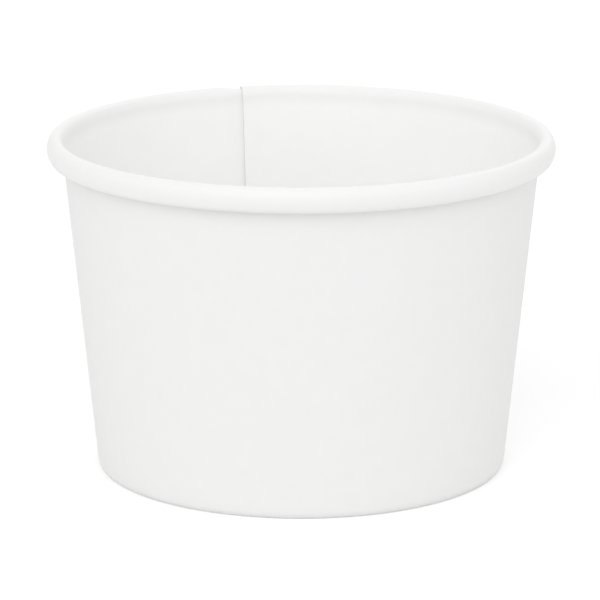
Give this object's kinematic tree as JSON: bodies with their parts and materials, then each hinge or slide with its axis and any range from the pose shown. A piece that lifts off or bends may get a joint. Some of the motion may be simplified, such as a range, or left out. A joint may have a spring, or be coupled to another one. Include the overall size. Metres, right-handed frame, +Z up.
{
  "type": "paper soup container",
  "caption": "Round tapered paper soup container, open at the top, with a rolled rim, a lapped side seam and a base set up inside a folded foot.",
  "frame": {"origin": "middle of the foot, on the table", "axes": "+Z up along the container's axis, +X and +Y level, with the side seam just left of +Y seen from the front"},
  "size_m": [0.09, 0.09, 0.06],
  "materials": {
    "wall_board": "satin",
    "base_board": "satin"
  },
  "bodies": {
    "root": {"side_wall": "wall_board", "base_disc": "base_board"}
  },
  "joints": []
}
